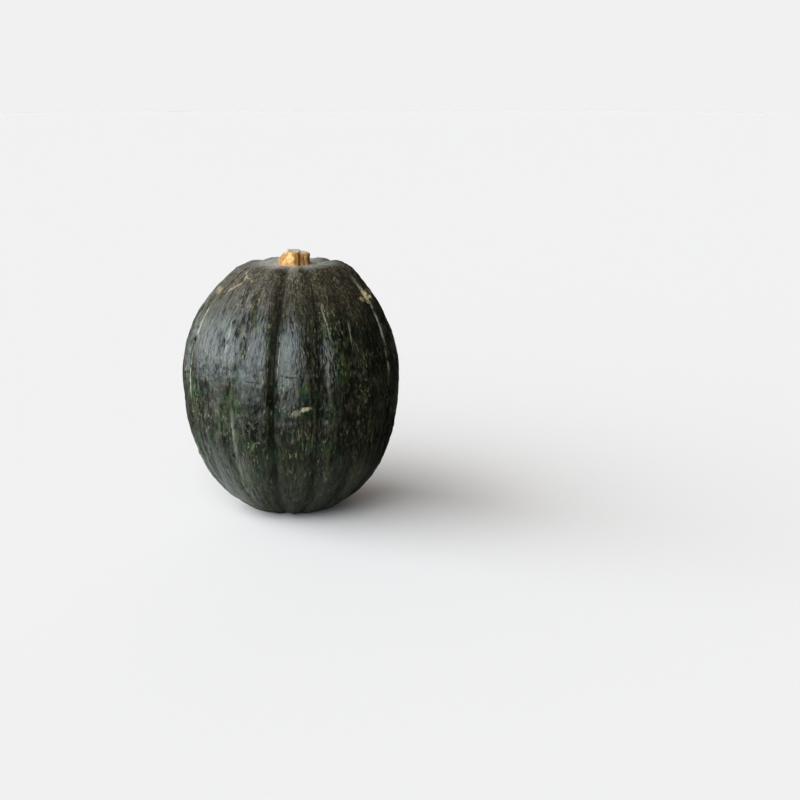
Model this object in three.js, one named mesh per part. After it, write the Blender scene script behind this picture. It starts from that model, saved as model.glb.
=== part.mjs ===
// A whole kabocha squash with its corky stem stub, standing on its blossom end.
// Millimetres, +Z up, origin on the ground under the middle of the squash. Its front faces
// -Y, and +X is to the right of who looks at the front.
//
// The rind is one closed surface: a rounded profile turned about Z, pushed in along its own
// normal by the furrows, which run from the stem to the blossom end between the lobes. The
// surface is level inside a small round seat under the stem, and in a flat ring around the
// blossom-end scar, where the squash stands.
import * as THREE from "three";
import { mergeVertices } from "three/addons/utils/BufferGeometryUtils.js";

// Overall form of the rind
const WIDEST_RADIUS = 85; // at the widest ring, on a lobe's crest
const WIDEST_Z = 112.5; // height of the widest ring
const APEX_Z = 211.4; // where the profile would close, without the level crown
const FOOT_Z = -3.5; // where it would close below, without the ground
const TOP_SQUARENESS = 1.77; // superellipse exponent: 2 is an ellipse, less has sloping shoulders
const BOTTOM_SQUARENESS = 2.33;
const CROWN = { z: 196, softness: 1.5 }; // the profile levels off at this height

// Dips at the two ends, and the level round seat under the stem
const CROWN_DIP = { depth: 1.6, radius: 18 };
const BLOSSOM_DIP = { depth: 7.5, radius: 8 };
const SEAT_RADIUS = 18.5;
const SEAT_Z = 193.8;

// The crown curls over to the right: how far at the seat, and how suddenly towards it
const CURL = { x: 3.4, power: 12 };

// Furrows: azimuth in degrees from the front (-Y) towards +X, how far the furrow drifts in
// degrees from the blossom end to the stem, and the depths in mm of its sharp crease and of
// the soft valley around it
const FURROWS = [
  { azimuth: -71.5, drift: -14, crease: 2.2, valley: 2.0 },
  { azimuth: -35.5, drift: -4, crease: 0.7, valley: 1.3 },
  { azimuth: -10, drift: 7, crease: 3.6, valley: 2.7 },
  { azimuth: 14, drift: 8, crease: 0.8, valley: 2.9 },
  { azimuth: 36, drift: 4, crease: 0.9, valley: 1.4 },
  { azimuth: 67, drift: 14, crease: 2.6, valley: 2.4 },
  { azimuth: 98, drift: 3, crease: 1.4, valley: 1.3 },
  { azimuth: 129, drift: -5, crease: 3.0, valley: 2.6 },
  { azimuth: 158, drift: 4, crease: 1.4, valley: 1.5 },
  { azimuth: 187, drift: -3, crease: 2.8, valley: 2.4 },
  { azimuth: 222, drift: 5, crease: 1.5, valley: 1.5 },
  { azimuth: 256, drift: -4, crease: 2.7, valley: 2.3 },
];
const CREASE_WIDTH = 4.6; // half width of a crease
const VALLEY_ANGLE = 9.5; // half width of a valley, in degrees round the axis
const FADE_RADIUS_TOP = 34; // furrows run out about this near the axis, at the crown
const FADE_RADIUS_BOTTOM = 38; // and at the foot

// Mesh of the rind
const AROUND = 150;
const RINGS = 35;

// Stem stub
const STEM_GAP = 0.3; // between the stem's foot and its seat
const STEM_FOOT_RADIUS = 12.4;
const STEM_WAIST_RADIUS = 12;
const STEM_TOP_RADIUS = 12.2;
const STEM_HEIGHT = 10.6;
const STEM_RIDGES = 5;
const STEM_RIDGE_DEPTH = 0.09; // share of the radius between the ridges
const STEM_PITH_DIP = 1.2;
const STEM_SHOULDER = { x: 4.8, slope: 0.8 }; // the cut falls away to the left of this
const STEM_STEP = { x: 4.3, drop: 1.3 }; // and stands a little lower to the right of this
const STEM_AROUND = 40;

const radians = THREE.MathUtils.degToRad;
const bell = (x) => Math.exp(-x * x);

// The lower of two numbers, with the corner between them rounded off.
const smoothLower = (a, b, softness) =>
  Math.min(a, b) - softness * Math.log1p(Math.exp(-Math.abs(a - b) / softness));

// Squash profile at latitude -90 (blossom end) to 90 degrees (crown): distance from the
// axis, height and outward normal, without the furrows.
function profileAt(latitude) {
  const up = latitude >= 0;
  const rise = up ? APEX_Z - WIDEST_Z : WIDEST_Z - FOOT_Z;
  const power = up ? TOP_SQUARENESS : BOTTOM_SQUARENESS;
  const c = Math.max(Math.cos(radians(latitude)), 0);
  const s = Math.abs(Math.sin(radians(latitude)));
  const radius = WIDEST_RADIUS * c ** (2 / power);
  const height = rise * s ** (2 / power);
  const level = up ? smoothLower(height, CROWN.z - WIDEST_Z, CROWN.softness) : height;
  const dip = up ? CROWN_DIP : BLOSSOM_DIP;
  const dipped = level - dip.depth * bell(radius / dip.radius);
  const outward = (radius / WIDEST_RADIUS) ** (power - 1) / WIDEST_RADIUS;
  const upward = (height / rise) ** (power - 1) / rise;
  const length = Math.hypot(outward, upward);
  const sign = up ? 1 : -1;
  return {
    radius,
    z: WIDEST_Z + sign * dipped,
    normalOut: outward / length,
    normalUp: (sign * upward) / length,
  };
}

// How far the furrows push the rind in, at an azimuth, a latitude and a distance from the axis.
function furrowDepth(azimuth, latitude, radius) {
  const fade = 1 - bell(radius / (latitude >= 0 ? FADE_RADIUS_TOP : FADE_RADIUS_BOTTOM));
  let depth = 0;
  for (const furrow of FURROWS) {
    const line = furrow.azimuth + (furrow.drift * latitude) / 180;
    const off = Math.abs(((azimuth - line + 540) % 360) - 180);
    depth += furrow.crease * bell((radians(off) * radius) / CREASE_WIDTH);
    depth += furrow.valley * bell(off / VALLEY_ANGLE);
  }
  return depth * fade;
}

// How far the squash's middle stands to the right at a height.
const shiftAt = (z) => CURL.x * (z / SEAT_Z) ** CURL.power;

function rindPoint(azimuth, latitude) {
  const p = profileAt(latitude);
  const depth = furrowDepth(azimuth, latitude, p.radius);
  const radius = p.radius - depth * p.normalOut;
  const seated = latitude > 0 && p.radius < SEAT_RADIUS;
  const z = seated ? SEAT_Z : Math.max(p.z - depth * p.normalUp, 0);
  return new THREE.Vector3(
    radius * Math.sin(radians(azimuth)) + shiftAt(z),
    -radius * Math.cos(radians(azimuth)),
    z,
  );
}

// A closed surface from rings of points, all with the same count, running upwards and
// anticlockwise seen from above, with a point at each end.
function closedRings(bottom, rings, top) {
  const points = [bottom, ...rings.flat(), top];
  const around = rings[0].length;
  const first = (ring) => 1 + ring * around;
  const last = points.length - 1;
  const index = [];
  for (let i = 0; i < around; i++) {
    const next = (i + 1) % around;
    index.push(0, first(0) + next, first(0) + i);
    for (let ring = 0; ring + 1 < rings.length; ring++) {
      const [a, b] = [first(ring) + i, first(ring) + next];
      const [c, d] = [first(ring + 1) + i, first(ring + 1) + next];
      index.push(a, b, d, a, d, c);
    }
    const top0 = first(rings.length - 1);
    index.push(top0 + i, top0 + next, last);
  }
  const geometry = new THREE.BufferGeometry().setFromPoints(points);
  geometry.setIndex(index);
  return mergeVertices(geometry);
}

function rindGeometry() {
  const ringAt = (latitude) =>
    Array.from({ length: AROUND }, (_, i) =>
      rindPoint((i * 360) / AROUND, latitude),
    );
  const rings = Array.from({ length: RINGS }, (_, k) =>
    ringAt(-90 + (180 * (k + 1)) / (RINGS + 1)),
  );
  return closedRings(rindPoint(0, -90), rings, rindPoint(0, 90));
}

// How much lower than the full height the stem's cut is at a place across it.
function stemCut(x) {
  const shoulder = STEM_SHOULDER.slope * Math.max(0, -x - STEM_SHOULDER.x);
  const step = STEM_STEP.drop * Math.min(Math.max(x - STEM_STEP.x + 1, 0), 1);
  return shoulder + step;
}

// The stem stub: rings from its flat foot up to the uneven cut, then in to the pith.
function stemGeometry() {
  const foot = SEAT_Z + STEM_GAP;
  const ring = (radius, share, dip) =>
    Array.from({ length: STEM_AROUND }, (_, i) => {
      const azimuth = (i * 2 * Math.PI) / STEM_AROUND;
      const ridge = 1 - STEM_RIDGE_DEPTH * (0.5 - 0.5 * Math.cos(STEM_RIDGES * azimuth));
      const x = radius * ridge * Math.sin(azimuth);
      const y = -radius * ridge * Math.cos(azimuth);
      return new THREE.Vector3(x, y, foot + share * (STEM_HEIGHT - stemCut(x)) - dip);
    });
  const rings = [
    ring(STEM_FOOT_RADIUS * 0.94, 0, 0),
    ring(STEM_FOOT_RADIUS, 0.08, 0),
    ring(STEM_FOOT_RADIUS * 0.95, 0.2, 0),
    ring(STEM_WAIST_RADIUS, 0.45, 0),
    ring(STEM_WAIST_RADIUS, 0.7, 0),
    ring(STEM_TOP_RADIUS, 0.9, 0),
    ring(STEM_TOP_RADIUS * 0.92, 1, 0),
    ring(STEM_TOP_RADIUS * 0.45, 1, STEM_PITH_DIP / 2),
  ];
  const bottom = new THREE.Vector3(0, 0, foot);
  const top = new THREE.Vector3(0, 0, foot + STEM_HEIGHT - STEM_PITH_DIP);
  return closedRings(bottom, rings, top);
}

const rindMaterial = new THREE.MeshStandardMaterial({
  color: 0x2a3329,
  roughness: 0.45,
  metalness: 0,
});
const stemMaterial = new THREE.MeshStandardMaterial({
  color: 0xb88d4e,
  roughness: 0.85,
  metalness: 0,
});

const squash = new THREE.Group();

const rind = new THREE.Mesh(rindGeometry(), rindMaterial);
rind.name = "squash_fruit";
squash.add(rind);

const stem = new THREE.Mesh(stemGeometry(), stemMaterial);
stem.name = "stem_stub";
stem.position.x = shiftAt(SEAT_Z);
squash.add(stem);

export default squash;
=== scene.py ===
import math
from types import SimpleNamespace

import bmesh
import bpy
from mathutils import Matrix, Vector, noise


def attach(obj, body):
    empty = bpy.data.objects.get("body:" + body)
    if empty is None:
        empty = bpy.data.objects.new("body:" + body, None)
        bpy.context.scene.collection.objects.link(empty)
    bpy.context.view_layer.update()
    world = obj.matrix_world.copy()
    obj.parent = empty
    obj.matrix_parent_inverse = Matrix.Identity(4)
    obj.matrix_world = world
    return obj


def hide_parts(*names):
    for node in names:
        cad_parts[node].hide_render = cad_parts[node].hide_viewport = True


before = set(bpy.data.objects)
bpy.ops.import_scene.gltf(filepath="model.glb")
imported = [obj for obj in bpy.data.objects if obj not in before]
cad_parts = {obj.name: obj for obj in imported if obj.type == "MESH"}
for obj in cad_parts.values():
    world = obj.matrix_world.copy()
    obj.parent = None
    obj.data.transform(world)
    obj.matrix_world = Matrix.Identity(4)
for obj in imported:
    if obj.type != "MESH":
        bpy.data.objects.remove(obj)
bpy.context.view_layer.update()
scene = bpy.context.scene

DEGREE = math.radians(1)
RADIAN = math.degrees(1)

# Sizes of the rind in metres, standing on the ground with its front towards -Y
WIDEST_RADIUS = 0.085
WIDEST_Z = 0.1125
APEX_Z = 0.2114  # where the profile would close, without the level crown
FOOT_Z = -0.0035  # where it would close below, without the ground
TOP_SQUARENESS = 1.77  # superellipse exponent, where 2 is an ellipse
BOTTOM_SQUARENESS = 2.33
CROWN_Z = 0.196
CROWN_SOFTNESS = 0.0015
CROWN_DIP_DEPTH = 0.0016
CROWN_DIP_RADIUS = 0.018
BLOSSOM_DIP_DEPTH = 0.0075
BLOSSOM_DIP_RADIUS = 0.008
FADE_RADIUS_TOP = 0.042  # furrows run out about this near the axis, at the crown
FADE_RADIUS_BOTTOM = 0.038  # and at the foot

# The level seat under the stem, with a small lip round it
SEAT_Z = 0.1938
SEAT_LEVEL_RADIUS = 0.0135
SEAT_EDGE_RADIUS = 0.0205
LIP_RADIUS = 0.0142
LIP_WIDTH = 0.0022
LIP_HEIGHT = 0.0009

# The crown curls over to the right: how far at the seat, and how suddenly towards it
CURL_REACH = 0.0034
CURL_POWER = 12

# Mean radius by which an angle up the rind is turned into a run along it, and the radius
# at the left shoulder, where the squiggle is laid out
RUN_RADIUS = 0.098
SHOULDER_RADIUS = 0.047
SHOULDER_AZIMUTH = -50

# Furrows: azimuth from the front towards +X, drift from foot to stem, depth and half width
# of the crease, depth and half angle of the valley round it, and how dark the painted shade in
# its bottom is
FURROWS = [
    (-71.5, -14, 0.0022, 0.0048, 0.0020, 10, 0.5),
    (-35.5, -4, 0.0007, 0.0050, 0.0013, 9, 0.1),
    (-10.0, 7, 0.0036, 0.0036, 0.0027, 9, 0.85),
    (14.0, 8, 0.0008, 0.0045, 0.0029, 8, 0.75),
    (36.0, 4, 0.0009, 0.0050, 0.0014, 9, 0.35),
    (67.0, 14, 0.0026, 0.0045, 0.0024, 9, 0.8),
    (98.0, 3, 0.0014, 0.0050, 0.0013, 10, 0.3),
    (129.0, -5, 0.0030, 0.0042, 0.0026, 10, 0.9),
    (158.0, 4, 0.0014, 0.0050, 0.0015, 10, 0.3),
    (187.0, -3, 0.0028, 0.0044, 0.0024, 10, 0.7),
    (222.0, 5, 0.0015, 0.0050, 0.0015, 10, 0.4),
    (256.0, -4, 0.0027, 0.0046, 0.0023, 10, 0.7),
]

# Pale lines down the rind, one of them a painted highlight: azimuth, drift, half width in
# metres, strength, lowest and highest latitude, each fading out over a few degrees
PALE_LINES_AND_HIGHLIGHT = [
    (-71.7, -14, 0.0012, 0.90, -48, 40),
    (-31.7, 12, 0.0017, 0.17, -50, -8),
    (-36.5, -14, 0.0007, 0.26, 16, 32),
    (-7.8, 8, 0.0004, 0.35, 8, 30),
    (25.0, -18, 0.0006, 0.30, 28, 44),
    # painted highlight: a pale streak where the window would glint on a lobe's ridge
    (19.4, 4, 0.0011, 0.17, 0, 18),
    (67.9, 20, 0.0010, 1.00, -10, 50),
    (56.0, 24, 0.0020, 0.45, 50, 80),
    (33.0, 26, 0.0006, 0.45, 20, 30),
    (96.0, 3, 0.0006, 0.45, -30, 40),
    (126.0, -5, 0.0008, 0.62, -20, 70),
    (156.0, 4, 0.0005, 0.38, -48, 22),
    (190.0, -3, 0.0008, 0.65, -40, 56),
    (219.0, 5, 0.0005, 0.38, -10, 44),
    (253.0, -4, 0.0008, 0.62, -44, 66),
]
LINE_FADE = 5

# Spots on the rind: azimuth, run along the rind up from the widest ring, half width, half
# height, turn in degrees and strength. First corky scars, then thin dark ticks, the first of
# them a painted shadow under the raised edge of the first scar, then places where the skin
# is greener.
TAN_SCARS = [
    (6.9, -0.0170, 0.0036, 0.0018, 5, 0.50),
    (2.6, -0.0198, 0.0050, 0.0024, 28, 0.15),
    (69.0, 0.0765, 0.0085, 0.0056, 0, 1.0),
    (58.0, 0.0735, 0.0034, 0.0024, 20, 0.5),
    (-77.0, 0.0834, 0.0044, 0.0034, 0, 0.2),
    (172.0, 0.0200, 0.0060, 0.0016, -25, 0.8),
    (140.0, -0.0320, 0.0030, 0.0040, 10, 0.6),
]
DARK_TICKS_AND_SHADOW = [
    # painted shadow: the dark line just above the first scar, under its raised edge
    (6.5, -0.0146, 0.0040, 0.0006, 5, 0.5),
    (0.4, 0.0106, 0.0042, 0.0008, 0, 0.55),
    (-20.5, 0.0060, 0.0030, 0.0005, -5, 0.4),
]
GREEN_SPOTS = [
    (6.2, 0.0008, 0.0030, 0.0052, -10, 0.8),
    (27.0, 0.0130, 0.0070, 0.0130, 0, 0.3),
    (-31.5, -0.0150, 0.0075, 0.0110, 0, 0.32),
    (-62.0, -0.0110, 0.0070, 0.0100, 0, 0.35),
    (-40.0, -0.0300, 0.0060, 0.0090, 10, 0.25),
    (118.0, 0.0150, 0.0080, 0.0120, 0, 0.35),
    (204.0, -0.0200, 0.0090, 0.0110, 0, 0.35),
    (243.0, 0.0300, 0.0060, 0.0120, 0, 0.35),
]

# A thin corky squiggle on the left shoulder, through these azimuths and runs
SQUIGGLE = [
    [(-52.8, 0.1082), (-53.0, 0.1040), (-49.2, 0.1011), (-46.0, 0.0990), (-43.0, 0.0984),
     (-37.2, 0.0970)],
    [(-49.2, 0.1011), (-46.5, 0.0960), (-47.5, 0.0924), (-51.8, 0.0874), (-57.7, 0.0825)],
]


class Wire:
    """A socket of a node tree. Arithmetic on it adds Math nodes to the tree."""

    def __init__(self, tree, socket):
        self.tree = tree
        self.socket = socket

    @classmethod
    def make(cls, tree, kind, settings=None, inputs=None, out=0):
        """Adds a node: its settings first, then the values or links of its sockets."""
        made = tree.nodes.new(kind)
        for name, value in (settings or {}).items():
            setattr(made, name, value)
        for name, value in (inputs or {}).items():
            if isinstance(value, Wire):
                tree.links.new(value.socket, made.inputs[name])
            else:
                made.inputs[name].default_value = value
        return cls(tree, made.outputs[out] if made.outputs else None)

    def also(self, name):
        """Another output of the same node."""
        return Wire(self.tree, self.socket.node.outputs[name])

    def math(self, operation, *others, clamp=False):
        settings = {"operation": operation, "use_clamp": clamp}
        values = dict(enumerate((self, *others)))
        return Wire.make(self.tree, "ShaderNodeMath", settings, values)

    def __add__(self, other):
        return self.math("ADD", other)

    def __radd__(self, other):
        return self.math("ADD", other)

    def __sub__(self, other):
        return self.math("SUBTRACT", other)

    def __rsub__(self, other):
        return self * -1 + other

    def __mul__(self, other):
        return self.math("MULTIPLY", other)

    def __rmul__(self, other):
        return self.math("MULTIPLY", other)

    def __truediv__(self, other):
        return self.math("DIVIDE", other)

    def __rtruediv__(self, other):
        return self.math("POWER", -1.0) * other

    def __pow__(self, other):
        return self.math("POWER", other)

    def bell(self):
        """1 at zero, falling away on both sides."""
        return (self * self * -1).math("EXPONENT")

    def step(self, low, high, start=0.0, end=1.0):
        """Goes smoothly from start to end while this goes from low to high."""
        return Wire.make(
            self.tree,
            "ShaderNodeMapRange",
            {"interpolation_type": "SMOOTHSTEP"},
            {"Value": self, "From Min": low, "From Max": high, "To Min": start, "To Max": end},
        )


def wrapped(azimuth, line):
    """Degrees from a line round the axis, from -180 to 180."""
    return (azimuth - line).math("WRAP", 180.0, -180.0)


def off_line(azimuth, latitude, start, drift):
    """Degrees round the axis from a line that drifts between the foot and the stem."""
    return wrapped(azimuth, latitude * (drift / 180) + start)


def curl_at(z):
    """How far the squash's middle stands to the right at a height."""
    return (z * (1 / SEAT_Z)) ** CURL_POWER * CURL_REACH


def noise_at(where, scale, detail=2.0, roughness=0.5, distortion=0.0):
    """Soft noise, around 0.5, with features of about 1 / scale."""
    return Wire.make(
        where.tree,
        "ShaderNodeTexNoise",
        {"noise_dimensions": "3D"},
        {
            "Vector": where,
            "Scale": scale,
            "Detail": detail,
            "Roughness": roughness,
            "Distortion": distortion,
        },
    )


def vector_of(x, y, z):
    tree = next(v.tree for v in (x, y, z) if isinstance(v, Wire))
    return Wire.make(tree, "ShaderNodeCombineXYZ", None, {"X": x, "Y": y, "Z": z})


def separated(vector):
    """X of a vector, with Y and Z as other outputs of the node."""
    return Wire.make(vector.tree, "ShaderNodeSeparateXYZ", None, {0: vector})


def mixed(factor, a, b):
    """Colour a where factor is 0, and b where it is 1."""
    made = factor.tree.nodes.new("ShaderNodeMix")
    made.data_type = "RGBA"
    made.clamp_factor = True
    factor.tree.links.new(factor.socket, made.inputs[0])
    for slot, colour in ((6, a), (7, b)):
        if isinstance(colour, Wire):
            factor.tree.links.new(colour.socket, made.inputs[slot])
        else:
            made.inputs[slot].default_value = (*colour, 1)
    return Wire(factor.tree, made.outputs[2])


def srgb(r, g, b):
    """Colour of a 0 to 255 swatch, as the shader wants it."""
    return tuple(
        v / 12.92 if v <= 0.04045 else ((v + 0.055) / 1.055) ** 2.4
        for v in (r / 255, g / 255, b / 255)
    )


def cleared_material(name):
    material = bpy.data.materials.new(name)
    material.use_nodes = True
    material.node_tree.nodes.clear()
    return material


def mesh_object(name, mesh):
    """Turns a bmesh into an object of the scene."""
    data = bpy.data.meshes.new(name)
    mesh.to_mesh(data)
    mesh.free()
    made = bpy.data.objects.new(name, data)
    scene.collection.objects.link(made)
    return made


# Rind: shape

RIND_INPUTS = [
    ("Around", "NodeSocketInt", 410),
    ("Rings", "NodeSocketInt", 236),
    ("Widest radius", "NodeSocketFloat", WIDEST_RADIUS),
    ("Widest height", "NodeSocketFloat", WIDEST_Z),
    ("Rise above widest", "NodeSocketFloat", APEX_Z - WIDEST_Z),
    ("Drop below widest", "NodeSocketFloat", WIDEST_Z - FOOT_Z),
    ("Crown height", "NodeSocketFloat", CROWN_Z),
    ("Seat height", "NodeSocketFloat", SEAT_Z),
    ("Pebble height", "NodeSocketFloat", 0.00062),
    ("Wart height", "NodeSocketFloat", 0.0006),
    ("Swell height", "NodeSocketFloat", 0.0011),
    ("Seed", "NodeSocketFloat", 3.7),
]
MERGE_DISTANCE = 1e-6


def choose(up, above, below):
    """One value above the widest ring and another below it."""
    return up * above + (1 - up) * below


def profile_at(latitude, up, given):
    """Profile without furrows: distance from the axis, height from the widest ring, and the
    outward normal."""
    c = (latitude * DEGREE).math("COSINE").math("MAXIMUM", 0.0)
    s = (latitude * DEGREE).math("SINE").math("ABSOLUTE")
    power = choose(up, TOP_SQUARENESS, BOTTOM_SQUARENESS)
    reach = choose(up, given["Rise above widest"], given["Drop below widest"])
    exponent = 2 / power
    radius = given["Widest radius"] * c ** exponent
    height = reach * s ** exponent
    top = given["Crown height"] - given["Widest height"]
    corner = ((height - top).math("ABSOLUTE") * (-1 / CROWN_SOFTNESS)).math("EXPONENT")
    rounding = (corner + 1).math("LOGARITHM", math.e) * CROWN_SOFTNESS
    levelled = height.math("MINIMUM", top) - rounding
    crown_dip = (radius / CROWN_DIP_RADIUS).bell() * CROWN_DIP_DEPTH
    blossom_dip = (radius / BLOSSOM_DIP_RADIUS).bell() * BLOSSOM_DIP_DEPTH
    dipped = choose(up, levelled - crown_dip, height - blossom_dip)
    sign = up * 2 - 1
    outward = (radius / given["Widest radius"]) ** (power - 1) / given["Widest radius"]
    upward = (height / reach) ** (power - 1) / reach
    length = (outward * outward + upward * upward).math("SQRT")
    return radius, sign * dipped, outward / length, sign * upward / length


def furrow_depth(azimuth, latitude, radius, up):
    """How far the furrows push the rind in."""
    fade = 1 - (radius / choose(up, FADE_RADIUS_TOP, FADE_RADIUS_BOTTOM)).bell()
    depth = 0
    for start, drift, crease_depth, width, valley_depth, angle, _ in FURROWS:
        off = off_line(azimuth, latitude, start, drift)
        crease = (off * radius * (DEGREE / width)).bell() * crease_depth
        valley = (off * (1 / angle)).bell() * valley_depth
        depth = crease + valley + depth
    return depth * fade


def skin_relief(where, given):
    """Slow swells, pebbles and a few warts."""
    swell = (noise_at(where, scale=34.0, detail=1.0) - 0.5) * given["Swell height"] * 2
    pebbles = noise_at(where, scale=190.0, detail=2.0, roughness=0.55) - 0.5
    pebbles = pebbles * given["Pebble height"] * 2
    cells = Wire.make(
        where.tree,
        "ShaderNodeTexVoronoi",
        None,
        {"Vector": where, "Scale": 105.0, "Randomness": 1.0},
    )
    chosen = separated(cells.also("Color")).math("GREATER_THAN", 0.72)
    warts = cells.step(0.30, 0.05) * chosen * given["Wart height"]
    return swell + pebbles + warts


def rind_position(azimuth, latitude, given):
    """Where a point of the rind lies: its profile, furrows, skin, seat and curl."""
    turn = azimuth * DEGREE
    up = latitude.math("GREATER_THAN", 0.0)
    radius, height, normal_out, normal_up = profile_at(latitude, up, given)
    furrows = furrow_depth(azimuth, latitude, radius, up)

    # The skin's relief fades out at the foot and round the seat
    where = vector_of(
        turn.math("SINE") * radius + given["Seed"], turn.math("COSINE") * radius, height
    )
    off_seat = radius.step(0.016, 0.026)
    off_ground = (height + given["Widest height"]).step(0.002, 0.016)
    free = choose(up, off_seat, off_ground * off_seat)
    depth = furrows - skin_relief(where, given) * free

    out = radius - depth * normal_out
    natural = given["Widest height"] + height - depth * normal_up
    seat = radius.step(SEAT_LEVEL_RADIUS, SEAT_EDGE_RADIUS, 1.0, 0.0) * up
    lip = ((radius - LIP_RADIUS) * (1 / LIP_WIDTH)).bell() * LIP_HEIGHT * up
    seated = natural * (1 - seat) + (given["Seat height"] + lip) * seat
    z = seated.math("MAXIMUM", 0.0)
    return vector_of(
        turn.math("SINE") * out + curl_at(z), turn.math("COSINE") * out * -1, z
    )


def rind_tree(material):
    """Geometry Nodes tree of the rind: a grid wrapped round the squash's profile. Gives the
    tree, and its inputs' values by their sockets' identifiers."""
    tree = bpy.data.node_groups.new("Rind", "GeometryNodeTree")
    tree.interface.new_socket(
        "Geometry", in_out="OUTPUT", socket_type="NodeSocketGeometry"
    )
    values = {}
    for name, kind, value in RIND_INPUTS:
        made = tree.interface.new_socket(name, in_out="INPUT", socket_type=kind)
        values[made.identifier] = value
    group_in = Wire.make(tree, "NodeGroupInput")
    given = {name: group_in.also(name) for name, _, _ in RIND_INPUTS}

    grid = Wire.make(
        tree,
        "GeometryNodeMeshGrid",
        None,
        {
            "Size X": 1.0,
            "Size Y": 1.0,
            "Vertices X": given["Around"],
            "Vertices Y": given["Rings"],
        },
    )
    mapped = Wire.make(
        tree,
        "GeometryNodeStoreNamedAttribute",
        {"data_type": "FLOAT2", "domain": "CORNER"},
        {"Geometry": grid, "Name": "UVMap", "Value": grid.also("UV Map")},
    )
    flat = separated(Wire.make(tree, "GeometryNodeInputPosition"))
    azimuth = (flat + 0.5) * 360.0
    latitude = flat.also("Y") * 180.0
    shaped = Wire.make(
        tree,
        "GeometryNodeSetPosition",
        None,
        {"Geometry": mapped, "Position": rind_position(azimuth, latitude, given)},
    )
    closed = Wire.make(
        tree,
        "GeometryNodeMergeByDistance",
        None,
        {"Geometry": shaped, "Distance": MERGE_DISTANCE},
    )
    smooth = Wire.make(tree, "GeometryNodeSetShadeSmooth", None, {"Geometry": closed})
    real = Wire.make(tree, "GeometryNodeRealizeInstances", None, {"Geometry": smooth})
    finished = Wire.make(
        tree, "GeometryNodeSetMaterial", None, {"Geometry": real, "Material": material}
    )
    Wire.make(tree, "NodeGroupOutput", None, {0: finished})
    return tree, values


def make_rind():
    tree, values = rind_tree(rind_material())
    holder = bpy.data.objects.new("rind", bpy.data.meshes.new("rind"))
    scene.collection.objects.link(holder)
    modifier = holder.modifiers.new("Rind", "NODES")
    modifier.node_group = tree
    for identifier, value in values.items():
        modifier[identifier] = value
    bpy.context.view_layer.update()
    evaluated = holder.evaluated_get(bpy.context.evaluated_depsgraph_get())
    mesh = bpy.data.meshes.new_from_object(evaluated)
    holder.modifiers.clear()
    holder.data = mesh
    mesh.name = "rind"
    return holder


# Rind: looks

SKIN = {
    "ground": srgb(13, 14, 8),
    "lighter ground": srgb(26, 28, 18),
    "brown": srgb(30, 22, 12),
    "green": srgb(14, 38, 18),
    "olive patch": srgb(42, 43, 26),
    # painted shade, warmed by a painted reflection, on the right flank away from the window
    "flank painted shade": srgb(22, 16, 7),
    "green spot": srgb(40, 72, 26),
    "light mottle": srgb(72, 71, 45),
    "dark mottle": srgb(6, 7, 4),
    "shoulder": srgb(60, 46, 36),
    "shoulder ray": srgb(116, 106, 84),
    "light speckle": srgb(108, 102, 84),
    "dark speckle": srgb(24, 21, 15),
    "foot": srgb(58, 62, 49),
    "foot streak": srgb(92, 92, 58),
    "crown bloom": srgb(140, 140, 127),
    "fleck": srgb(116, 114, 82),
    # painted shade where the furrows are deepest
    "painted furrow shade": srgb(8, 9, 6),
    # also paints a highlight along one lobe's ridge
    "pale line and painted highlight": srgb(184, 184, 154),
    # also the painted shadow above the first scar
    "tick and painted shadow": srgb(6, 7, 5),
    "cork": srgb(224, 204, 154),
    "collar": srgb(168, 140, 118),
    "blossom scar": srgb(150, 124, 88),
}
# Middle of the right flank, darkened and browned by painted shade and a warm painted
# reflection
FLANK_AZIMUTH = 74


def rind_coordinates(tree):
    """Where on the rind: azimuth and latitude from its map, the rest from its place."""
    uv = separated(Wire.make(tree, "ShaderNodeUVMap", {"uv_map": "UVMap"}))
    azimuth = uv * 360.0
    latitude = uv.also("Y") * 180.0 - 90.0
    place = Wire.make(tree, "ShaderNodeTexCoord", None, None, "Object")
    xyz = separated(place)
    z = xyz.also("Z")
    x = xyz - curl_at(z)
    radius = (x * x + xyz.also("Y") ** 2).math("SQRT")
    rise = (z - WIDEST_Z).math("ARCTAN2", radius) * RUN_RADIUS

    # Two stretched spaces: one for marks that run with the lobes, one for fine rays
    turn = azimuth * DEGREE
    across = (turn.math("SINE") * WIDEST_RADIUS, turn.math("COSINE") * WIDEST_RADIUS)
    along = vector_of(*across, rise * 0.32)
    rays = vector_of(*across, rise * 0.14)
    return SimpleNamespace(
        azimuth=azimuth,
        latitude=latitude,
        z=z,
        radius=radius,
        rise=rise,
        place=place,
        along=along,
        rays=rays,
    )


def rind_patterns(at):
    """The noises that colour, gloss and relief share."""
    return SimpleNamespace(
        large=noise_at(at.place, scale=26.0, detail=3.0, roughness=0.55),
        patches=noise_at(at.along, scale=75.0, detail=5.0, roughness=0.66, distortion=0.5),
        mottle=noise_at(at.along, scale=330.0, detail=4.0, roughness=0.66, distortion=0.4),
        flecks=noise_at(at.along, scale=700.0, detail=2.0),
        pebble=noise_at(at.along, scale=560.0, detail=2.0),
        ray=noise_at(at.rays, scale=330.0, detail=3.0, roughness=0.6),
        grain=noise_at(at.place, scale=1500.0, detail=3.0, roughness=0.6),
        speckle=noise_at(at.place, scale=430.0, detail=3.0, roughness=0.6),
    )


def rind_zones(at):
    """Parts of the rind from stem to foot, each from 0 to 1."""
    high_up = at.z.step(0.15, 0.17)
    shoulder = at.rise.step(0.046, 0.098)
    crown = at.radius.step(0.040, 0.018) * high_up
    return SimpleNamespace(
        shoulder=shoulder,
        crown=crown,
        rayed=shoulder * (1 - crown * 0.7),
        collar=at.radius.step(0.0172, 0.0142) * high_up,
        flank=wrapped(at.azimuth, FLANK_AZIMUTH).math("ABSOLUTE").step(80, 28),
        foot=at.z.step(0.076, 0.014),
        blossom=at.radius.step(0.0085, 0.006) * at.z.step(0.02, 0.01),
    )


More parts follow.
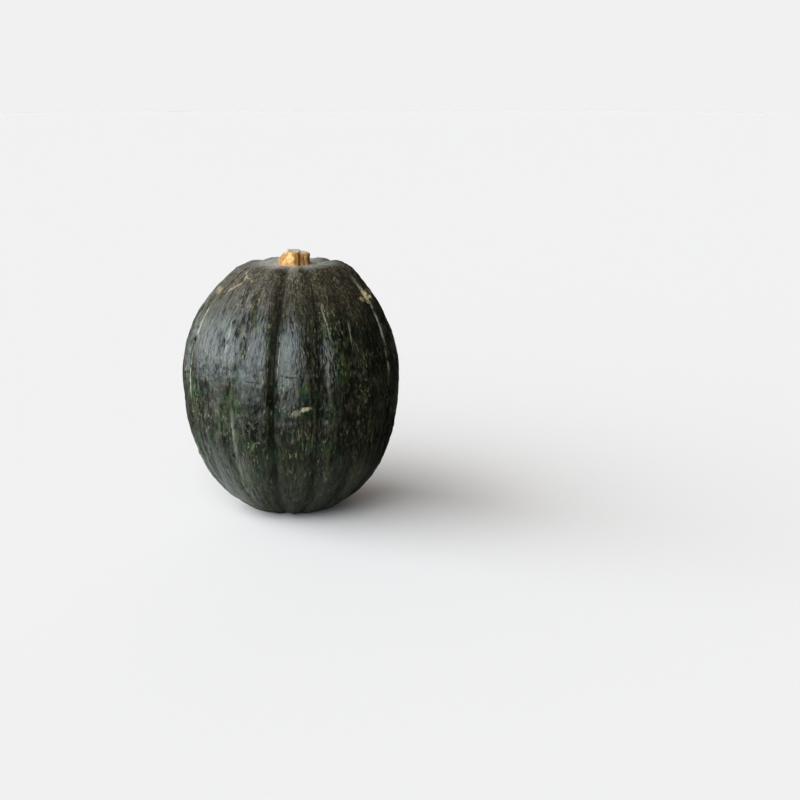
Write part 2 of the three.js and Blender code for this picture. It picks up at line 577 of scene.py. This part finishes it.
def painted_furrow_shade(at, pattern):
    """Painted shade in the furrows: a thin dark core where each is deepest, and a wider bank
    of painted shade to its right.
    """
    core_width, bank_width, bank_off, wobble = 0.0011, 0.0040, 0.0020, 0.0018
    total = 0
    for start, drift, _, _, _, _, darkness in FURROWS:
        off = off_line(at.azimuth, at.latitude, start, drift)
        arc = off * at.radius * DEGREE + (pattern.mottle - 0.5) * wobble
        core = (arc * (1 / core_width)).bell() * (darkness * 0.75)
        bank = ((arc - bank_off) * (1 / bank_width)).bell() * (darkness * 0.6)
        total = bank + core + total
    return total * at.radius.step(0.040, 0.060) * at.z.step(0.050, 0.095, 0.55, 1.0)


def pale_lines_and_highlight(at, pattern):
    """Thin pale stripes, wavering and broken, with one painted highlight among them."""
    waver = (noise_at(at.along, scale=70.0, detail=2.0) - 0.5) * 0.004
    total = 0
    for start, drift, width, strength, low, high in PALE_LINES_AND_HIGHLIGHT:
        off = off_line(at.azimuth, at.latitude, start, drift)
        arc = off * at.radius * DEGREE + waver
        rising = at.latitude.step(low - LINE_FADE, low + LINE_FADE)
        ending = at.latitude.step(high + LINE_FADE, high - LINE_FADE)
        total = total + (arc * (1 / width)).bell() * (rising * ending) * strength
    broken = pattern.mottle.step(0.36, 0.52) * pattern.patches.step(0.38, 0.54, 0.5, 1.0)
    return (total * broken).math("MINIMUM", 1.0)


def blots(at, ragged, spots):
    """Ragged-edged ellipses on the rind, from a list of spots."""
    total = 0
    for azimuth, run, half_width, half_height, tilt, strength in spots:
        u = wrapped(at.azimuth, azimuth) * at.radius * DEGREE
        v = at.rise - run
        cos, sin = math.cos(math.radians(tilt)), math.sin(math.radians(tilt))
        across = (u * cos + v * sin) * (1 / half_width)
        upward = (v * cos - u * sin) * (1 / half_height)
        away = (across * across + upward * upward).math("SQRT") + ragged
        total = away.step(1.25, 0.55) * strength + total
    return total.math("MINIMUM", 1.0)


def vector_math(operation, first, *others, out=0):
    return Wire.make(
        first.tree,
        "ShaderNodeVectorMath",
        {"operation": operation},
        dict(enumerate((first, *others))),
        out,
    )


def squiggle_strokes(at, pattern):
    """The squiggle: how close a place is to its strokes, laid out flat on the shoulder."""
    wobble = 0.004
    flat = vector_of(
        wrapped(at.azimuth, SHOULDER_AZIMUTH) * SHOULDER_RADIUS * DEGREE
        + (pattern.mottle - 0.5) * wobble,
        at.rise + (pattern.flecks - 0.5) * wobble,
        0.0,
    )
    strokes = 0
    for points in SQUIGGLE:
        on_map = [
            Vector((math.radians(azimuth - SHOULDER_AZIMUTH) * SHOULDER_RADIUS, run, 0))
            for azimuth, run in points
        ]
        for start, end in zip(on_map, on_map[1:]):
            stroke = end - start
            from_start = vector_math("SUBTRACT", flat, start)
            along_stroke = stroke / stroke.length_squared
            share = vector_math("DOT_PRODUCT", from_start, along_stroke, out="Value")
            share = share.math("MULTIPLY", 1.0, clamp=True)
            nearest = Wire.make(
                at.place.tree,
                "ShaderNodeVectorMath",
                {"operation": "SCALE"},
                {0: stroke, "Scale": share},
            )
            away = vector_math("DISTANCE", from_start, nearest, out="Value")
            strokes = away.step(0.0011, 0.0003).math("MAXIMUM", strokes)
    return strokes * pattern.mottle.step(0.38, 0.54)


def ground_colour(at, pattern, zone, green_spots):
    """The rind's ground with its mottling, shoulders, foot and crown, and painted shade on its
    right flank.
    """
    green = noise_at(at.place, scale=60.0, detail=2.0)
    brown = noise_at(at.place, scale=34.0, detail=2.0)
    streak = noise_at(at.rays, scale=150.0, detail=3.0, roughness=0.6)
    mottle, speckle, ray = pattern.mottle, pattern.speckle, pattern.ray
    bloom = zone.crown * (speckle.step(0.38, 0.62) * 0.5 + ray.step(0.40, 0.62) * 0.2 + 0.4)
    skin = mixed(pattern.large.step(0.35, 0.66), SKIN["ground"], SKIN["lighter ground"])
    for cover, swatch in (
        (brown.step(0.50, 0.64) * 0.6, "brown"),
        (green.step(0.51, 0.62) * 0.8, "green"),
        (pattern.patches.step(0.46, 0.66) * 0.6, "olive patch"),
        # painted shade and a warm painted reflection darken and brown the right flank
        (zone.flank * 0.62, "flank painted shade"),
        (green_spots * 0.8, "green spot"),
        (mottle.step(0.48, 0.68) * 0.7, "light mottle"),
        (mottle.step(0.48, 0.34) * 0.75, "dark mottle"),
        (zone.shoulder * 0.55, "shoulder"),
        (zone.rayed * ray.step(0.50, 0.68) * 0.25, "shoulder ray"),
        (zone.rayed * speckle.step(0.52, 0.66) * 0.5, "light speckle"),
        (zone.rayed * speckle.step(0.47, 0.35) * 0.5, "dark speckle"),
        (zone.foot * 0.6, "foot"),
        (zone.foot * streak.step(0.50, 0.66) * 0.45, "foot streak"),
        (bloom, "crown bloom"),
    ):
        skin = mixed(cover, skin, SKIN[swatch])
    return skin


def pale_flecks(at, pattern):
    """Pale flecks drawn out along the lobes, thicker in some places than in others."""
    crowd = noise_at(at.place, scale=40.0, detail=2.0).step(0.34, 0.70, 0.11, -0.01)
    fleck = (pattern.flecks - crowd).step(0.56, 0.66)
    sparse = noise_at(at.along, scale=360.0, detail=1.0).step(0.70, 0.78)
    return (fleck * 0.6).math("MAXIMUM", sparse * 0.6)


def rind_material():
    """Waxy skin, dull in its pores, furrows and scars, and along the right flank, with painted
    shade and a warm painted reflection darkening that flank.
    """
    material = cleared_material("waxy_rind")
    tree = material.node_tree
    at = rind_coordinates(tree)
    pattern = rind_patterns(at)
    zone = rind_zones(at)
    mottle, patches, grain = pattern.mottle, pattern.patches, pattern.grain

    # Painted shade along the furrows, where a deep crease would shade itself
    furrow_shade = painted_furrow_shade(at, pattern)
    # The skin's pale stripes, with one painted highlight among them
    lines = pale_lines_and_highlight(at, pattern)
    marks = pale_flecks(at, pattern)
    ragged = (pattern.speckle - 0.5) * 3.0 + (pattern.flecks - 0.5) * 0.8
    strokes = squiggle_strokes(at, pattern)
    cork = (blots(at, ragged, TAN_SCARS) + strokes * 0.3).math("MINIMUM", 1.0)
    ticks_and_shadow = blots(at, ragged, DARK_TICKS_AND_SHADOW)

    skin = ground_colour(at, pattern, zone, blots(at, ragged, GREEN_SPOTS))
    for cover, swatch in (
        (marks, "fleck"),
        # painted shade darkens the deepest part of each furrow
        (furrow_shade * 0.9, "painted furrow shade"),
        # the skin's pale stripes, with one painted highlight among them
        (lines, "pale line and painted highlight"),
        # dark ticks, and the painted shadow above the first scar
        (ticks_and_shadow * 0.9, "tick and painted shadow"),
        (cork * 0.95, "cork"),
        (zone.collar * 0.8, "collar"),
        (zone.blossom * 0.9, "blossom scar"),
    ):
        skin = mixed(cover, skin, SKIN[swatch])

    rough = 0.30 + (patches - 0.5) * 0.3 + (mottle - 0.5) * 0.3
    rough = rough + marks * 0.1 + (grain - 0.5) * 0.1
    rough = rough + zone.shoulder * 0.12 + zone.collar * 0.2 + zone.foot * 0.06
    rough = rough + lines * 0.1 + cork * 0.25
    height = pattern.pebble * 0.5 + grain * 0.12 + mottle * 0.4
    height = height + lines * 0.1 + pattern.ray * zone.rayed * 0.3
    height = height + cork * 0.5 - ticks_and_shadow * 0.5
    bump = Wire.make(
        tree,
        "ShaderNodeBump",
        None,
        {"Strength": 0.8, "Distance": 0.0016, "Height": height},
    )

    pores = mottle.step(0.49, 0.36) * 0.5 + patches.step(0.52, 0.37) * 0.7
    pores = pores * (1 - zone.crown * 0.7)
    below_crown = at.rise.step(0.038, 0.072) * at.rise.step(0.116, 0.098)
    # the painted furrow shade also takes the sheen out where the furrows are deepest
    dullness = furrow_shade + pores + cork * 0.5 + ticks_and_shadow + below_crown * 0.48
    dullness = dullness + zone.flank * at.rise.step(0.028, 0.050) * 0.9
    dullness = dullness.math("MINIMUM", 1.0)

    surface = {"Base Color": skin, "Normal": bump}
    waxy = Wire.make(
        tree,
        "ShaderNodeBsdfPrincipled",
        None,
        {"IOR": 1.58, "Specular IOR Level": 0.5, "Roughness": rough, **surface},
    )
    dull = Wire.make(
        tree,
        "ShaderNodeBsdfPrincipled",
        None,
        {"IOR": 1.4, "Specular IOR Level": 0.12, "Roughness": 0.85, **surface},
    )
    both = Wire.make(tree, "ShaderNodeMixShader", None, {0: dullness, 1: waxy, 2: dull})
    Wire.make(tree, "ShaderNodeOutputMaterial", None, {"Surface": both})
    return material


# Stem stub

STEM_FOOT_Z = SEAT_Z - 0.0006
STEM_TOP_Z = 0.2047
STEM_AROUND = 168
STEM_SIDE_RINGS = 40
STEM_CUT_RINGS = 26
# Share of the height, and radius there
STEM_PROFILE = [(0.0, 0.0132), (0.10, 0.0131), (0.25, 0.0127), (0.45, 0.0123),
                (0.75, 0.0124), (0.93, 0.0123), (1.0, 0.0116)]
STEM_RIDGES = 5
STEM_RIDGE_DEPTH = 0.09  # share of the radius between the ridges
STEM_SHOULDER_X = 0.0048  # the cut falls away to the left of this
STEM_SHOULDER_SLOPE = 0.8
STEM_STEP_X = 0.0043  # and stands a little lower to the right of this
STEM_STEP_WIDTH = 0.0008
STEM_STEP_DROP = 0.0013
STEM_PITH_DEPTH = 0.0012
STEM_PITH_RADIUS = 0.0045
STEM_CRACK_AZIMUTH = 24
STEM_CRACK_ANGLE = 5.5
STEM_CRACK_DEPTH = 0.0016
BARK_DEPTHS = (0.00055, 0.00022)
TORN_DEPTHS = (0.00045, 0.00018)

STEM = {
    "bark": srgb(148, 98, 40),
    "light bark": srgb(192, 144, 76),
    "dark grain": srgb(104, 64, 24),
    "pale blotch": srgb(232, 196, 140),
    "brown blotch": srgb(110, 74, 32),
    # painted shade low on the stub's right side
    "painted shade side": srgb(104, 58, 20),
    "dusty foot": srgb(168, 138, 104),
    "cut": srgb(150, 132, 104),
    "cut fibre": srgb(196, 184, 158),
    "crack": srgb(92, 52, 18),
}


def along_profile(points, at):
    """Radius of a profile at a share of its height, eased between its points."""
    for (a, first), (b, second) in zip(points, points[1:]):
        if at <= b:
            share = (at - a) / (b - a)
            share = share * share * (3 - 2 * share)
            return first + (second - first) * share
    return points[-1][1]


def stem_cut_drop(x):
    """How much lower than the full height the cut is at a place across it."""
    shoulder = STEM_SHOULDER_SLOPE * max(0.0, -x - STEM_SHOULDER_X)
    over_step = (x - STEM_STEP_X) / STEM_STEP_WIDTH + 0.5
    return shoulder + STEM_STEP_DROP * min(max(over_step, 0), 1)


def stem_point(turn, share, inward):
    """A point of the stub: share up its side, or at 1, inward across its cut face."""
    ridge = 1 - STEM_RIDGE_DEPTH * (0.5 - 0.5 * math.cos(STEM_RIDGES * turn))
    side = (math.sin(turn), -math.cos(turn))
    grain = noise.noise(Vector((side[0] * 7, side[1] * 7, share * 1.1)))
    fine = noise.noise(Vector((side[0] * 19, side[1] * 19, share * 2.5 + 5)))
    off = (math.degrees(turn) - STEM_CRACK_AZIMUTH + 180) % 360 - 180
    crack = math.exp(-((off / STEM_CRACK_ANGLE) ** 2)) * STEM_CRACK_DEPTH
    base = along_profile(STEM_PROFILE, share)
    radius = base * ridge + BARK_DEPTHS[0] * grain + BARK_DEPTHS[1] * fine - crack
    radius *= 1 - inward
    x, y = radius * side[0], radius * side[1]
    full = STEM_TOP_Z - STEM_FOOT_Z - stem_cut_drop(x)
    z = STEM_FOOT_Z + share * full
    if share >= 1:
        torn = noise.noise(Vector((x * 420, y * 420, 3.0)))
        fibre = noise.noise(Vector((x * 1100, y * 1100, 9.0)))
        off_rim = min(inward * 8, 1)
        z += (TORN_DEPTHS[0] * torn + TORN_DEPTHS[1] * fibre) * off_rim
        z -= STEM_PITH_DEPTH * math.exp(-((radius / STEM_PITH_RADIUS) ** 2))
    return Vector((x + CURL_REACH, y, min(z, STEM_TOP_Z)))


def make_stem():
    """Rings of points up the side and in across the cut, closed below by a flat foot."""
    mesh = bmesh.new()
    rings = [(k / STEM_SIDE_RINGS, 0.0) for k in range(STEM_SIDE_RINGS + 1)]
    rings += [(1.0, k / STEM_CUT_RINGS) for k in range(1, STEM_CUT_RINGS)]
    turns = [i * 2 * math.pi / STEM_AROUND for i in range(STEM_AROUND)]
    rows = [
        [mesh.verts.new(stem_point(turn, share, inward)) for turn in turns]
        for share, inward in rings
    ]
    top = mesh.verts.new(stem_point(0.0, 1.0, 1.0))
    foot = mesh.verts.new((CURL_REACH, 0, STEM_FOOT_Z))
    for i in range(STEM_AROUND):
        j = (i + 1) % STEM_AROUND
        mesh.faces.new((foot, rows[0][j], rows[0][i]))
        mesh.faces.new((rows[-1][i], rows[-1][j], top))
        for lower, upper in zip(rows, rows[1:]):
            mesh.faces.new((lower[i], lower[j], upper[j], upper[i]))
    for face in mesh.faces:
        face.smooth = True
    stem = mesh_object("stem_cork", mesh)
    stem.data.materials.append(stem_material())
    return stem


def stem_material():
    """Dry ridged bark with a paler, fibrous cut, and painted shade low on its right side."""
    material = cleared_material("dry_stem")
    tree = material.node_tree
    place = Wire.make(tree, "ShaderNodeTexCoord", None, None, "Object")
    xyz = separated(place)
    x = xyz - CURL_REACH
    y = xyz.also("Y")
    z = xyz.also("Z")
    radius = (x * x + y * y).math("SQRT").math("MAXIMUM", 0.0005)
    upright = vector_of(x / radius * 0.011, y / radius * 0.011, z * 0.16)
    grain = noise_at(upright, scale=700.0, detail=4.0, roughness=0.65)
    broad = noise_at(upright, scale=190.0, detail=2.0)
    blotch = noise_at(place, scale=150.0, detail=3.0, roughness=0.6)
    fibre = noise_at(place, scale=900.0, detail=3.0, roughness=0.6)

    cut = (z - (STEM_TOP_Z - 0.0026)).step(0.0, 0.0009) * radius.step(0.0106, 0.0094)
    off = wrapped(x.math("ARCTAN2", y * -1) * RADIAN, STEM_CRACK_AZIMUTH)
    crack = (off * radius * (DEGREE / 0.0007)).bell()
    # Painted shade: the stub darker low on its right, away from the window
    shaded_lower_right = x.step(0.0030, 0.0110) * z.step(0.2035, 0.1965)
    low = z.step(SEAT_Z + 0.0035, SEAT_Z - 0.0002)
    colour = mixed(broad.step(0.32, 0.68), STEM["bark"], STEM["light bark"])
    face = mixed(fibre.step(0.40, 0.66), STEM["cut"], STEM["cut fibre"])
    for cover, shade in (
        (grain.step(0.46, 0.70) * 0.7, STEM["dark grain"]),
        (blotch.step(0.50, 0.64) * 0.6, STEM["pale blotch"]),
        (blotch.step(0.48, 0.36) * 0.65, STEM["brown blotch"]),
        (shaded_lower_right * 0.65, STEM["painted shade side"]),
        (low * 0.6, STEM["dusty foot"]),
        (cut, face),
        (crack * (1 - cut) * 0.85, STEM["crack"]),
    ):
        colour = mixed(cover, colour, shade)

    rough = 0.72 + (grain - 0.5) * 0.3
    height = grain * 0.6 + blotch * 0.3 + fibre * 0.3
    bump = Wire.make(
        tree, "ShaderNodeBump", None, {"Strength": 0.7, "Distance": 0.0007, "Height": height}
    )
    bark = Wire.make(
        tree,
        "ShaderNodeBsdfPrincipled",
        None,
        {
            "IOR": 1.45,
            "Specular IOR Level": 0.35,
            "Base Color": colour,
            "Roughness": rough,
            "Normal": bump,
        },
    )
    Wire.make(tree, "ShaderNodeOutputMaterial", None, {"Surface": bark})
    return material


rind = make_rind()
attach(rind, "root")
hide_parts("squash_fruit")
stem = make_stem()
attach(stem, "root")
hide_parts("stem_stub")


# Floor, light and camera. Directions are azimuths from the front towards +X, and angles
# above the ground, in degrees. A range runs from where a thing begins to where it is full.

WINDOW = {"azimuth": -60, "range": (69, 59), "top": (66, 50), "light": 4.8}
BEHIND = {"azimuth": -158, "range": (54, 30), "top": (42, 26), "light": 1.3}
WINDOW_COLOUR = (0.83, 0.93, 1.03)
ROOM_COLOUR = (1.0, 0.97, 0.92)
SKY_LIGHT = 0.22
SKY_RANGE = (20, 75)
SHADE_RANGE = (150, 60)
SHADE_LIGHT = 0.03
BACKDROP = (0.878, 0.878, 0.878)

FLOOR_RADIUS = 9.0
FLOOR = (0.76, 0.75, 0.74)
FLOOR_SEEN = (0.712, 0.655, 0.609)
FLOOR_SHADED = (0.045, 0.042, 0.036)
# Painted light: the shaded floor paler close round the squash, as the squash mirrors it
FLOOR_NEAR = (0.20, 0.195, 0.18)
NEAR_RANGE = (0.16, 0.08)
LIT_AHEAD = {"azimuth": -38, "range": (50, 34), "away": (0.27, 0.35)}
LIT_ASIDE = {"azimuth": -108, "range": (66, 48), "away": (0.24, 0.12)}

LENS = 68.35
SENSOR_WIDTH = 36
CAMERA_TILT = 12
CAMERA_AWAY = 1.2
MIDDLE = Vector((0, 0, 0.102))
AIM_RIGHT = 0.0854
AIM_DOWN = 0.0166


def toward(azimuth, place):
    """1 in the directions round a window, a glow or a zone of the floor, 0 elsewhere."""
    return wrapped(azimuth, place["azimuth"]).math("ABSOLUTE").step(*place["range"])


def make_floor():
    """A pale floor. Of what the squash mirrors of it, two zones are lit, one beyond a ring
    ahead on the left and one close by on the left, and the rest lies in shade, which painted
    light makes paler close round the squash."""
    mesh = bmesh.new()
    bmesh.ops.create_circle(mesh, cap_ends=True, radius=FLOOR_RADIUS, segments=96)
    floor = mesh_object("floor", mesh)
    material = cleared_material("floor")
    tree = material.node_tree
    xyz = separated(Wire.make(tree, "ShaderNodeTexCoord", None, None, "Object"))
    y = xyz.also("Y")
    away = (xyz * xyz + y * y).math("SQRT")
    azimuth = xyz.math("ARCTAN2", y * -1) * RADIAN
    ahead = away.step(*LIT_AHEAD["away"]) * toward(azimuth, LIT_AHEAD)
    aside = away.step(*LIT_ASIDE["away"]) * toward(azimuth, LIT_ASIDE)
    shaded = mixed(away.step(*NEAR_RANGE), FLOOR_SHADED, FLOOR_NEAR)
    mirrored = mixed(ahead.math("MAXIMUM", aside), shaded, FLOOR)
    seen = Wire.make(tree, "ShaderNodeLightPath", None, None, "Is Camera Ray")
    colour = mixed(seen, mirrored, FLOOR_SEEN)
    matte = Wire.make(
        tree,
        "ShaderNodeBsdfPrincipled",
        None,
        {"Roughness": 1.0, "Specular IOR Level": 0.0, "Base Color": colour},
    )
    Wire.make(tree, "ShaderNodeOutputMaterial", None, {"Surface": matte})
    floor.data.materials.append(material)


def make_world():
    """Soft light from a tall window to the left, a dim sky above, a glow behind on the left
    and shade to the right. The camera itself sees a plain pale backdrop."""
    world = bpy.data.worlds.new("studio")
    scene.world = world
    world.use_nodes = True
    tree = world.node_tree
    tree.nodes.clear()
    way = separated(Wire.make(tree, "ShaderNodeTexCoord", None, None, "Generated"))
    azimuth = way.math("ARCTAN2", way.also("Y") * -1) * RADIAN
    elevation = way.also("Z").math("ARCSINE") * RADIAN
    window = toward(azimuth, WINDOW) * elevation.step(*WINDOW["top"])
    behind = toward(azimuth, BEHIND) * elevation.step(*BEHIND["top"]) * BEHIND["light"]
    sky = elevation.step(*SKY_RANGE) * SKY_LIGHT
    shade = wrapped(azimuth, WINDOW["azimuth"]).math("ABSOLUTE")
    shade = shade.step(*SHADE_RANGE, SHADE_LIGHT * 0.3, SHADE_LIGHT * 1.4)
    colour = mixed(window, ROOM_COLOUR, WINDOW_COLOUR)
    power = window * WINDOW["light"] + sky + shade + behind * (1 - window)
    light = Wire.make(tree, "ShaderNodeBackground", None, {"Color": colour, "Strength": power})
    backdrop = {"Color": (*BACKDROP, 1), "Strength": 1.0}
    plain = Wire.make(tree, "ShaderNodeBackground", None, backdrop)
    seen = Wire.make(tree, "ShaderNodeLightPath", None, None, "Is Camera Ray")
    both = Wire.make(tree, "ShaderNodeMixShader", None, {0: seen, 1: light, 2: plain})
    Wire.make(tree, "ShaderNodeOutputWorld", None, {"Surface": both})


def make_camera():
    """The photograph's viewpoint, a little above the middle of the squash, with the squash
    left of the picture's middle."""
    lens = bpy.data.cameras.new("camera")
    lens.lens = LENS
    lens.sensor_width = SENSOR_WIDTH
    camera = bpy.data.objects.new("camera", lens)
    scene.collection.objects.link(camera)
    tilt = math.radians(CAMERA_TILT)
    camera.location = MIDDLE + CAMERA_AWAY * Vector((0, -math.cos(tilt), math.sin(tilt)))
    down = Vector((0, math.sin(tilt), math.cos(tilt)))
    aim = MIDDLE + Vector((AIM_RIGHT, 0, 0)) - AIM_DOWN * down
    camera.rotation_euler = (aim - camera.location).to_track_quat("-Z", "Y").to_euler()
    scene.camera = camera


make_floor()
make_world()
make_camera()
scene.view_settings.view_transform = "Standard"
